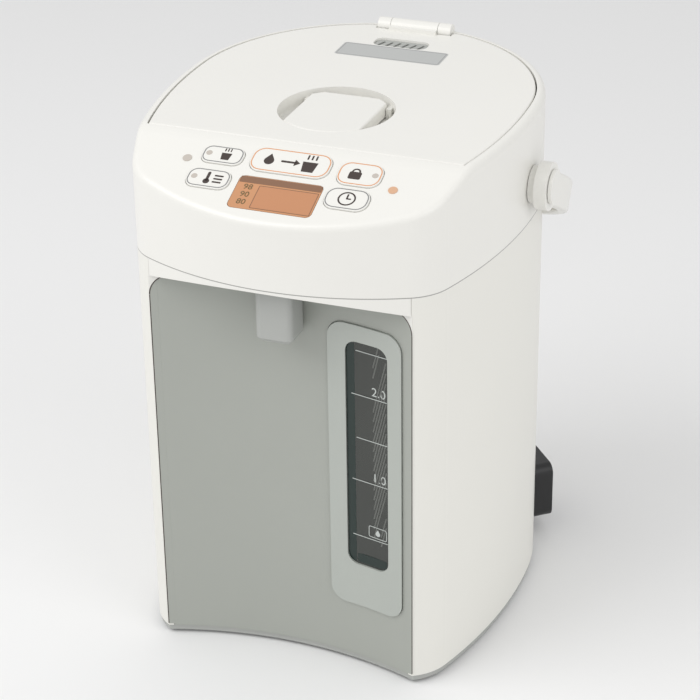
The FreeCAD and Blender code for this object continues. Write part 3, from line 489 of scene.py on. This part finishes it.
def on_front(x, z, depth):
    """From a place on the hollow front, depth measured back from its surface, to the object."""
    r = sizes().panel_radius
    lens_low, lens_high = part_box("gauge_window")
    centre = lens_low[1] - math.sqrt(r * r - lens_high[0] ** 2)
    rr = r + depth * MM
    return (x * MM, centre + math.sqrt(rr * rr - (x * MM) ** 2), z * MM)


def written(name, text, size, place, x, y, low, high, material, body, thick=0.0):
    """Plain numbers as a mesh laid on a surface."""
    curve = bpy.data.curves.new(name, "FONT")
    curve.body = text
    curve.size = size
    curve.align_x = "CENTER"
    curve.align_y = "CENTER"
    curve.resolution_u = 3
    curve.offset = thick
    obj = bpy.data.objects.new(name, curve)
    bpy.context.scene.collection.objects.link(obj)
    bpy.context.view_layer.update()
    flat = bpy.data.meshes.new_from_object(obj.evaluated_get(bpy.context.evaluated_depsgraph_get()))
    bpy.data.objects.remove(obj)
    bm = bmesh.new()
    bm.from_mesh(flat)
    bmesh.ops.remove_doubles(bm, verts=bm.verts, dist=1e-5)
    faces = bm.faces[:]
    up = bmesh.ops.extrude_face_region(bm, geom=faces)
    top = [v for v in up["geom"] if isinstance(v, bmesh.types.BMVert)]
    tops = set(top)
    for v in bm.verts:
        px, py = v.co.x + x, v.co.y + y
        v.co = Vector(place(px, py, high if v in tops else low))
    bmesh.ops.recalc_face_normals(bm, faces=bm.faces)
    bm.to_mesh(flat)
    bm.free()
    flat.name = name
    out = bpy.data.objects.new(name, flat)
    bpy.context.scene.collection.objects.link(out)
    flat.materials.clear()
    flat.materials.append(material)
    return carried(out, body)


def bar_row_tree():
    """Geometry Nodes: a row of slanted bars."""
    tree = bpy.data.node_groups.get("bar_row")
    if tree:
        return tree
    tree = bpy.data.node_groups.new("bar_row", "GeometryNodeTree")
    face = tree.interface
    face.new_socket("Count", in_out="INPUT", socket_type="NodeSocketInt").default_value = 10
    starts = (("Step", 0.005), ("Length", 0.008), ("Width", 0.001), ("Depth", 0.0002), ("Slant", 0.6))
    for label, value in starts:
        face.new_socket(label, in_out="INPUT", socket_type="NodeSocketFloat").default_value = value
    face.new_socket("Finish", in_out="INPUT", socket_type="NodeSocketMaterial")
    face.new_socket("Geometry", in_out="OUTPUT", socket_type="NodeSocketGeometry")
    n, link = tree.nodes, tree.links.new
    given = n.new("NodeGroupInput")
    end = n.new("NodeGroupOutput")
    step = n.new("ShaderNodeCombineXYZ")
    link(given.outputs["Step"], step.inputs["Z"])
    line = n.new("GeometryNodeMeshLine")
    link(given.outputs["Count"], line.inputs["Count"])
    link(step.outputs["Vector"], line.inputs["Offset"])
    size = n.new("ShaderNodeCombineXYZ")
    link(given.outputs["Length"], size.inputs["X"])
    link(given.outputs["Depth"], size.inputs["Y"])
    link(given.outputs["Width"], size.inputs["Z"])
    cube = n.new("GeometryNodeMeshCube")
    link(size.outputs["Vector"], cube.inputs["Size"])
    turn = n.new("ShaderNodeCombineXYZ")
    link(given.outputs["Slant"], turn.inputs["Y"])
    spread = n.new("GeometryNodeInstanceOnPoints")
    link(line.outputs["Mesh"], spread.inputs["Points"])
    link(cube.outputs["Mesh"], spread.inputs["Instance"])
    link(turn.outputs["Vector"], spread.inputs["Rotation"])
    real = n.new("GeometryNodeRealizeInstances")
    link(spread.outputs["Instances"], real.inputs["Geometry"])
    dress = n.new("GeometryNodeSetMaterial")
    link(real.outputs["Geometry"], dress.inputs["Geometry"])
    link(given.outputs["Finish"], dress.inputs["Material"])
    link(dress.outputs["Geometry"], end.inputs["Geometry"])
    return tree


def bar_row(name, place, values, material, body):
    """A row made by the bar tree, turned into a plain mesh at its place."""
    tree = bar_row_tree()
    holder = bpy.data.objects.new(name + "_maker", bpy.data.meshes.new(name + "_maker"))
    bpy.context.scene.collection.objects.link(holder)
    mod = holder.modifiers.new("bars", "NODES")
    mod.node_group = tree
    ids = {s.name: s.identifier for s in tree.interface.items_tree if s.in_out == "INPUT"}
    for key, value in values.items():
        mod[ids[key]] = value
    mod[ids["Finish"]] = material
    bpy.context.view_layer.update()
    made = bpy.data.meshes.new_from_object(holder.evaluated_get(bpy.context.evaluated_depsgraph_get()))
    holder.modifiers.clear()
    bpy.data.objects.remove(holder)
    for v in made.vertices:
        v.co = Vector(place(v.co))
    made.name = name
    obj = bpy.data.objects.new(name, made)
    bpy.context.scene.collection.objects.link(obj)
    if not made.materials:
        made.materials.append(material)
    return carried(obj, body)


# ------------------------------------------------------------------ operators
class POT_OT_finishes(bpy.types.Operator):
    """Give every part of the frame its own finish"""

    bl_idname = "pot.finishes"
    bl_label = "Finishes"

    def execute(self, context):
        done = set()
        for make, names in FINISHES:
            for name in names:
                if name in NODES:
                    mesh = NODES[name].data
                    mesh.materials.clear()
                    mesh.materials.append(make())
                    done.add(name)
        for name, obj in NODES.items():
            if name.startswith("key_"):
                obj.data.materials.clear()
                obj.data.materials.append(white_plastic())
                done.add(name)
        left = sorted(set(NODES) - done)
        if left:
            raise RuntimeError("no finish for " + ", ".join(left))
        return {"FINISHED"}


PRINT_SINK = 0.02                 # how deep a print starts under its surface, so that no gap shows
KEY_EDGE = 0.6                    # from a key's edge to its printed outline
KEY_LAMP_R = 1.8
KEY_FACES = (
    # node, middle x, distance down the slope, width, length, corner, ink, lamp offset, in millimetres
    ("key_boil", -39.5, 16.0, 24.0, 13.0, 5.0, "grey", -8.2),
    ("key_pour", 0.0, 14.8, 46.0, 18.0, 7.0, "orange", 0.0),
    ("key_lock", 40.5, 16.5, 25.0, 17.0, 6.5, "orange", 8.6),
    ("key_keep", -41.0, 34.5, 25.0, 14.0, 5.5, "grey", -8.4),
    ("key_timer", 39.5, 35.5, 25.0, 15.5, 6.5, "grey", 0.0),
)
FACE_LAMP_R, FACE_LAMP_RISE = 2.6, 0.36
FACE_LAMPS = (
    # name, middle x, distance down the slope, finish
    ("lamp_left", -59.0, 21.0, lamp_grey),
    ("lamp_right", 61.5, 24.0, lamp_warm),
)


def drop_shape(x, y, size):
    """A water drop: most of a circle, closed to a point above it."""
    ring = [(x, y + 1.5 * size)]
    for k in range(13):
        a = math.radians(150 + 240 * k / 12)
        ring.append((x + size * math.cos(a) * 0.8, y + size * math.sin(a) * 0.8))
    return ring


def cup_shapes(x, y, s):
    """A cup with three lines of steam."""
    body = [(x - s, y + 0.7 * s), (x - 0.75 * s, y - s), (x + 0.75 * s, y - s), (x + s, y + 0.7 * s)]
    steam = [round_rect(0.22 * s, 0.8 * s, 0.1 * s, 3, x + d * s, y + 1.5 * s) for d in (-0.55, 0.0, 0.55)]
    return [body] + steam


def lock_shapes(x, y, s):
    """A padlock: its body, and its bow as an outer and an inner arch."""
    arch = [(px, py + 0.5 * s) for px, py in disc(0.8 * s, x, y, 14, 0, 180)]
    inner = [(px, py + 0.5 * s) for px, py in disc(0.5 * s, x, y, 14, 180, -180)]
    return [round_rect(2.2 * s, 1.7 * s, 0.3 * s, 3, x, y - 0.35 * s)], (arch, inner)


def arrow_shapes(x, y):
    """An arrow that points right."""
    head = [(x + 2.2, y + 2.4), (x + 2.2, y - 2.4), (x + 5.4, y)]
    return [round_rect(9.0, 1.4, 0.7, 3, x - 1.2, y), head]


def heat_shapes(x, y):
    """A thermometer with three steps beside it."""
    bulb, stem = disc(1.9, x - 0.5, y - 2.4, 16), round_rect(1.7, 7.0, 0.8, 3, x - 0.5, y + 1.2)
    return [bulb, stem] + [round_rect(5.2, 1.1, 0.4, 3, x + 5.6, y + d) for d in (2.4, 0.0, -2.4)]


def hand_shapes(x, y):
    """The two hands of a clock."""
    return [round_rect(0.9, 3.6, 0.3, 3, x, y + 1.6), round_rect(2.8, 0.9, 0.3, 3, x + 1.0, y)]


class POT_OT_keys(bpy.types.Operator):
    """Print the outline, any lamp and a plain picture on each key, and the two lamps beside them"""

    bl_idname = "pot.keys"
    bl_label = "Key prints"

    def execute(self, context):
        s = sizes()
        top = s.key_rise / MM
        low, high = top - PRINT_SINK, top + s.ink / MM
        line = s.key_line / MM
        for name, x, down, w, l, r, ink, lamp in KEY_FACES:
            mat = orange_ink() if ink == "orange" else grey_ink()
            wide, tall, corner = w - 2 * KEY_EDGE, l - 2 * KEY_EDGE, r - KEY_EDGE
            outer = round_rect(wide, tall, corner, 6, x, -down)
            inner = round_rect(wide - 2 * line, tall - 2 * line, corner - line, 6, x, -down)
            v, f = band(outer, inner, on_face, low, high)
            piece_from(name + "_line", v, f, mat, name)
            if name == "key_boil":
                marks = cup_shapes(x + 2.0, -down - 0.6, 3.0)
            elif name == "key_pour":
                marks = [drop_shape(x - 12.5, -down - 0.8, 3.6)] + cup_shapes(x + 11.0, -down - 1.2, 4.4)
                marks += arrow_shapes(x, -down)
            elif name == "key_lock":
                marks, bow = lock_shapes(x - 2.5, -down - 0.4, 3.2)
                v, f = slab([bow[0] + bow[1]], on_face, low, high)
                piece_from(name + "_bow", v, f, dark_ink(), name)
            elif name == "key_keep":
                marks = heat_shapes(x, -down)
            else:
                marks = hand_shapes(x, -down)
            v, f = slab(marks, on_face, low, high)
            piece_from(name + "_mark", v, f, dark_ink(), name)
            if name == "key_timer":
                v, f = band(disc(5.0, x, -down, 32), disc(4.1, x, -down, 32), on_face, low, high)
                piece_from(name + "_dial", v, f, dark_ink(), name)
            if lamp:
                v, f = slab([disc(KEY_LAMP_R, x + lamp, -down + 0.3, 20)], on_face, low, high)
                piece_from(name + "_lamp", v, f, lamp_grey(), name)
        for name, x, down, finish in FACE_LAMPS:
            v, f = slab([disc(FACE_LAMP_R, x, -down)], on_face, 0.0, FACE_LAMP_RISE)
            piece_from(name, v, f, finish(), "housing")
        return {"FINISHED"}


DISPLAY_W, DISPLAY_L, DISPLAY_DOWN = 48.0, 24.0, 40.0     # size, and distance down the slope
FIELD_W, FIELD_L, FIELD_X = 34.0, 16.6, 6.0
NUMBER_X, NUMBER_STEP = -17.2, 5.6


class POT_OT_display(bpy.types.Operator):
    """Dress the display with a painted shadow along its top, its field and frame, and its numbers"""

    bl_idname = "pot.display"
    bl_label = "Display"

    def execute(self, context):
        # This dark brown is painted shadow along the top of the recessed display; the field's printed frame
        # line uses the same colour
        shade = finish_of("display_shade", (0.25, 0.13, 0.075), rough=0.3, tint=0.05)
        field = finish_of("display_field", (0.56, 0.26, 0.13), rough=0.3, tint=0.05)
        low, high = -PRINT_SINK, 0.05
        # the painted shadow strip lies just under the display's top edge
        shadow_y = -DISPLAY_DOWN + DISPLAY_L / 2 - 2.6
        v, f = slab([round_rect(DISPLAY_W - 0.6, 4.6, 0.6, 3, 0, shadow_y)], on_face, low, high)
        piece_from("display_shade", v, f, shade, "housing")
        x, y = FIELD_X, -DISPLAY_DOWN - 2.4
        v, f = slab([round_rect(FIELD_W, FIELD_L, 0.4, 3, x, y)], on_face, low, high)
        piece_from("display_field", v, f, field, "housing")
        outer = round_rect(FIELD_W + 0.4, FIELD_L + 0.4, 0.6, 3, x, y)
        inner = round_rect(FIELD_W - 0.4, FIELD_L - 0.4, 0.4, 3, x, y)
        v, f = band(outer, inner, on_face, 0.0, 0.09)
        piece_from("display_frame", v, f, shade, "housing")
        for k, number in enumerate(("98", "90", "80")):
            row = -DISPLAY_DOWN + 4.0 - NUMBER_STEP * k
            written("display_%s" % number, number, 5.4, on_face, NUMBER_X, row, low, 0.08, display_ink(),
                    "housing", thick=0.05)
        return {"FINISHED"}


GAUGE_INK = -0.07                 # a print's outer face, in front of the hollow front
DARK_STRIPS = (
    # width, length, corner, points, x, z
    (5.0, 141.0, 1.0, 3, 38.0, 142.0),
    (19.5, 6.0, 1.0, 3, 51.0, 74.2),
)
LINE_END, LINE_HIGH = 61.3, 0.45
LONG_LINE, SHORT_LINE = 23.0, 20.0
FILL_STEPS = 1.34                 # the fill line's distance under one litre, in half litres
BOX_X = 54.6
STRIPE_WIDTH, STRIPE_DEPTH, STRIPE_SLANT = 0.8 * MM, 0.04 * MM, -1.32
PANEL_TOP, PANEL_CORNER_R, BOW_HALF = 239.6, 12.0, 0.3


def corner_arc(side, edge, r):
    """Points round a top corner of the panel, from its side to its top, at a distance r."""
    turns = [math.radians(90 * k / 12) for k in range(13)]
    return [(side * (edge - PANEL_CORNER_R + r * math.cos(t)), PANEL_TOP - PANEL_CORNER_R + r * math.sin(t))
            for t in turns]


class POT_OT_gauge(bpy.types.Operator):
    """Print the gauge's lines, numbers, stripes and dark edges, and trim the panel's sides and corners"""

    bl_idname = "pot.gauge"
    bl_label = "Level gauge"

    def execute(self, context):
        s = sizes()
        one, half = s.level_one / MM, s.level_step / MM
        for k, strip in enumerate(DARK_STRIPS):
            v, f = slab([round_rect(*strip)], on_front, 0.0, -0.03)
            piece_from("gauge_dark_%d" % k, v, f, smoke_dark(), "housing")
        rows = (
            ("top", one + 3 * half, SHORT_LINE),
            ("two", one + 2 * half, LONG_LINE),
            ("mid", one + half, SHORT_LINE),
            ("one", one, LONG_LINE),
            ("fill", one - FILL_STEPS * half, LONG_LINE),
        )
        for name, z, width in rows:
            bar = round_rect(width, LINE_HIGH, 0.2, 2, LINE_END - width / 2, z)
            v, f = slab([bar], on_front, 0.0, GAUGE_INK)
            piece_from("gauge_line_" + name, v, f, pale_ink(), "housing")
        for name, z, number in (("two", one + 2 * half, "2.0"), ("one", one, "1.0")):
            written("gauge_number_" + name, number, 7.6, on_front, 55.8, z + 4.0, 0.0, GAUGE_INK, pale_ink(),
                    "housing")
        z = one - FILL_STEPS * half + 5.0
        outer = round_rect(12.0, 7.4, 1.2, 4, BOX_X, z)
        inner = round_rect(11.2, 6.6, 0.8, 4, BOX_X, z)
        v, f = band(outer, inner, on_front, 0.0, GAUGE_INK)
        piece_from("gauge_box", v, f, pale_ink(), "housing")
        v, f = slab([drop_shape(BOX_X, z - 0.6, 1.9)], on_front, 0.0, GAUGE_INK)
        piece_from("gauge_drop", v, f, pale_ink(), "housing")

        hatches = (
            # name, x, z, stripes, their length
            ("main", 56.4, 107.0, s.hatch_count, 34.0),
            ("top", 54.2, 201.5, 2, 16.0),
            ("foot", 58.6, 93.0, 2, 14.0),
        )
        for word, x, z, count, long in hatches:

            def behind(co, x=x, z=z):
                px, py, pz = on_front(co.x / MM + x, co.z / MM + z, -PRINT_SINK)
                return (px, py + co.y, pz)

            values = {
                "Count": count,
                "Step": s.hatch_step,
                "Length": long * MM,
                "Width": STRIPE_WIDTH,
                "Depth": STRIPE_DEPTH,
                "Slant": STRIPE_SLANT,
            }
            bar_row("gauge_hatch_" + word, behind, values, hatch_grey(), "housing")
        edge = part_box("front_panel")[1][0] / MM + 0.15
        for side, word in ((-1, "left"), (1, "right")):
            v, f = slab([round_rect(4.2, 231.0, 0.2, 3, side * (edge - 2.1), 122.5)], on_front, 0.0, -0.06)
            piece_from("panel_rim_" + word, v, f, panel_plastic(), "housing")
            v, f = slab([round_rect(0.55, 220.0, 0.2, 3, side * edge, 117.4)], on_front, 0.0, -0.1)
            piece_from("panel_gap_" + word, v, f, dark_ink(), "housing")
            bow = corner_arc(side, edge, PANEL_CORNER_R + BOW_HALF)
            inner = corner_arc(side, edge, PANEL_CORNER_R - BOW_HALF)
            v, f = slab([bow + [(side * edge, PANEL_TOP)]], on_front, 0.0, -0.12)
            piece_from("panel_corner_" + word, v, f, white_plastic(), "housing")
            v, f = slab([bow + inner[::-1]], on_front, 0.0, -0.16)
            piece_from("panel_bow_" + word, v, f, dark_ink(), "housing")
        return {"FINISHED"}


STICKER_Y = 82.5
STICKER_TOP, STICKER_LINE_TOP = 0.10, 0.14


class POT_OT_sticker(bpy.types.Operator):
    """Lay a blank silver sticker on the rear of the lid"""

    bl_idname = "pot.sticker"
    bl_label = "Blank sticker"

    def execute(self, context):
        s = sizes()
        w, l = s.label_width / MM, s.label_length / MM
        v, f = slab([round_rect(w, l, 2.0, 5, 0.0, STICKER_Y)], on_lid, -PRINT_SINK, STICKER_TOP)
        piece_from("lid_sticker", v, f, sticker_silver(), "lid")
        outer = round_rect(w - 1.6, l - 1.6, 1.4, 5, 0.0, STICKER_Y)
        inner = round_rect(w - 2.6, l - 2.6, 1.0, 5, 0.0, STICKER_Y)
        v, f = band(outer, inner, on_lid, 0.08, STICKER_LINE_TOP)
        piece_from("lid_sticker_line", v, f, soft_ink(), "lid")
        return {"FINISHED"}


FLOOR_HALF = 6
AIM_HEIGHT = 0.17
SENSOR_WIDTH = 36.0               # millimetres
CLIP_END = 20


class POT_OT_stage(bpy.types.Operator):
    """Set the floor, the soft lamps, the plain surroundings and the camera"""

    bl_idname = "pot.stage"
    bl_label = "Stage"

    def execute(self, context):
        scene = context.scene
        st = scene.pot_stage
        floor = bpy.data.meshes.new("floor")
        half = FLOOR_HALF
        corners = [(-half, -half, 0), (half, -half, 0), (half, half, 0), (-half, half, 0)]
        floor.from_pydata(corners, [], [(0, 1, 2, 3)])
        ground = bpy.data.objects.new("floor", floor)
        scene.collection.objects.link(ground)
        mat = bpy.data.materials.new("floor")
        mat.use_nodes = True
        t = mat.node_tree
        shader = t.nodes["Principled BSDF"]
        shader.inputs["Base Color"].default_value = (*st.floor, 1)
        shader.inputs["Roughness"].default_value = 0.7
        shader.inputs["Specular IOR Level"].default_value = 0.2
        floor.materials.append(mat)
        world = bpy.data.worlds.new("plain")
        scene.world = world
        world.use_nodes = True
        t = world.node_tree
        back = t.nodes["Background"]
        back.inputs["Color"].default_value = (1, 1, 1, 1)
        path = t.nodes.new("ShaderNodeLightPath")
        seen = t.nodes.new("ShaderNodeMath")
        seen.operation = "MAXIMUM"
        t.links.new(path.outputs["Is Camera Ray"], seen.inputs[0])
        t.links.new(path.outputs["Is Transmission Ray"], seen.inputs[1])
        strength = t.nodes.new("ShaderNodeMapRange")
        strength.inputs["To Min"].default_value = st.world
        strength.inputs["To Max"].default_value = 1.0
        t.links.new(seen.outputs[0], strength.inputs["Value"])
        t.links.new(strength.outputs["Result"], back.inputs["Strength"])
        lamps = (
            # name, place, size, power
            ("main_lamp", (-0.9, -0.9, 1.5), 1.3, st.key),
            ("second_lamp", (1.3, -0.5, 1.0), 1.2, st.fill),
        )
        for name, place, size, power in lamps:
            lamp = bpy.data.lights.new(name, "AREA")
            lamp.size = size
            lamp.energy = power
            obj = bpy.data.objects.new(name, lamp)
            obj.location = place
            aim = Vector((0, 0, AIM_HEIGHT)) - Vector(place)
            obj.rotation_euler = aim.to_track_quat("-Z", "Y").to_euler()
            scene.collection.objects.link(obj)
        cam = bpy.data.cameras.new("photo_view")
        cam.lens = st.lens
        cam.sensor_width = SENSOR_WIDTH
        cam.clip_end = CLIP_END
        view = bpy.data.objects.new("photo_view", cam)
        a, e = st.azimuth, st.elevation
        right = Vector((math.cos(a), math.sin(a), 0))
        away = Vector((math.sin(a) * math.cos(e), -math.cos(a) * math.cos(e), math.sin(e)))
        up = away.cross(right)
        m = Matrix((right, up, away)).transposed()
        m = m @ Matrix.Rotation(-st.roll, 3, "Z")
        view.matrix_world = Matrix.Translation(Vector(st.place)) @ m.to_4x4()
        scene.collection.objects.link(view)
        scene.camera = view
        scene.view_settings.view_transform = "Standard"
        return {"FINISHED"}


class POT_PT_panel(bpy.types.Panel):
    """The pot's pieces, sizes and colours"""

    bl_label = "Thermo pot"
    bl_idname = "POT_PT_panel"
    bl_space_type = "VIEW_3D"
    bl_region_type = "UI"
    bl_category = "Thermo pot"

    def draw(self, context):
        scene = context.scene
        for cls in OPERATORS:
            self.layout.operator(cls.bl_idname)
        for group in (scene.pot_sizes, scene.pot_colours, scene.pot_stage):
            column = self.layout.column()
            for key in group.__annotations__:
                column.prop(group, key)


OPERATORS = (POT_OT_finishes, POT_OT_keys, POT_OT_display, POT_OT_gauge, POT_OT_sticker, POT_OT_stage)
CLASSES = (PotSizes, PotColours, PotStage) + OPERATORS + (POT_PT_panel,)


def register():
    for cls in CLASSES:
        bpy.utils.register_class(cls)
    bpy.types.Scene.pot_sizes = PointerProperty(type=PotSizes)
    bpy.types.Scene.pot_colours = PointerProperty(type=PotColours)
    bpy.types.Scene.pot_stage = PointerProperty(type=PotStage)


def unregister():
    del bpy.types.Scene.pot_sizes
    del bpy.types.Scene.pot_colours
    del bpy.types.Scene.pot_stage
    for cls in reversed(CLASSES):
        bpy.utils.unregister_class(cls)


def main():
    register()
    for cls in OPERATORS:
        group, name = cls.bl_idname.split(".")
        getattr(getattr(bpy.ops, group), name)()
    bpy.context.view_layer.update()


if __name__ == "__main__":
    main()
